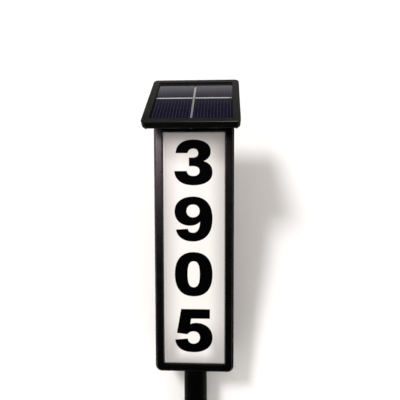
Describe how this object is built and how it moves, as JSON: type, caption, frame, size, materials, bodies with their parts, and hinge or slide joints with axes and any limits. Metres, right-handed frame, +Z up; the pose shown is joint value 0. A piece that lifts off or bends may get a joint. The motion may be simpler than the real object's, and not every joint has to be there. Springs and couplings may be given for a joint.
{
  "type": "solar house number sign",
  "caption": "Tall back-lit number sign on a round post with a ground spike, under a tilting square solar head that holds the battery and a push button.",
  "frame": {"origin": "on the ground line, on the axis of the post", "axes": "+Z up along the post; the sign's face looks along -Y; +X is the viewer's right"},
  "size_m": [0.1438, 0.1233, 0.8797],
  "materials": {
    "bezel_plastic": "satin black moulded plastic, softly reflecting",
    "housing_plastic": "fine-grained black moulded plastic",
    "seal_rubber": "black soft rubber",
    "opal_diffuser": "opal white acrylic, lit warm white from behind",
    "white_tray": "white reflecting plastic",
    "white_board": "white solder mask",
    "warm_led": "yellow phosphor in a white package",
    "screw_steel": "black oxide steel",
    "plain_steel": "zinc-plated steel",
    "post_coating": "black powder coat on aluminium tube",
    "hinge_coating": "black powder coat on cast aluminium",
    "spike_plastic": "black ribbed moulded plastic",
    "head_plastic": "fine-grained black moulded plastic",
    "panel_backing": "dark laminate under a clear resin face",
    "solar_cell": "dark blue silicon with fine silver fingers",
    "tinned_ribbon": "tinned copper ribbon",
    "battery_wrap": "plain blue shrink sleeve",
    "green_board": "green solder mask",
    "switch_plastic": "dark grey plastic",
    "button_rubber": "dark grey soft rubber"
  },
  "bodies": {
    "sign": {"front_bezel": "bezel_plastic", "rear_housing": "housing_plastic", "housing_seal": "seal_rubber", "diffuser": "opal_diffuser", "diffuser_seal": "seal_rubber", "light_tray": "white_tray", "led_boards": "white_board", "leds": "warm_led", "housing_screws": "screw_steel", "post_spigot": "housing_plastic", "spigot_screws": "screw_steel", "post_tube": "post_coating", "post_screws": "screw_steel", "ground_spike": "spike_plastic", "hinge_bracket": "hinge_coating", "bracket_screws": "screw_steel", "backing_plate": "plain_steel", "box_lead_gland": "seal_rubber", "hinge_bolt": "screw_steel", "hinge_nut": "screw_steel", "hinge_washers": "plain_steel"},
    "head": {"head_frame": "head_plastic", "panel_tape": "seal_rubber", "solar_panel": "panel_backing", "solar_cells": "solar_cell", "cell_ribbons": "tinned_ribbon", "head_base": "head_plastic", "head_screws": "screw_steel", "head_lead_gland": "seal_rubber", "battery_cell": "battery_wrap", "battery_contacts": "plain_steel", "control_board": "green_board", "tact_switch": "switch_plastic", "door_seal": "seal_rubber", "battery_door": "head_plastic", "door_screws": "screw_steel"},
    "button": {"power_button": "button_rubber"}
  },
  "joints": [
    {"name": "head_tilt", "type": "hinge", "parent": "sign", "child": "head", "pos_m": [0, 0.002, 0.66], "axis": [1, 0, 0], "range_deg": [-39, 26]},
    {"name": "power_button_press", "type": "slide", "parent": "head", "child": "button", "axis": [0, -0.6293, 0.7771], "range_m": [0, 0.0015], "stiffness_N_per_m": 400}
  ]
}
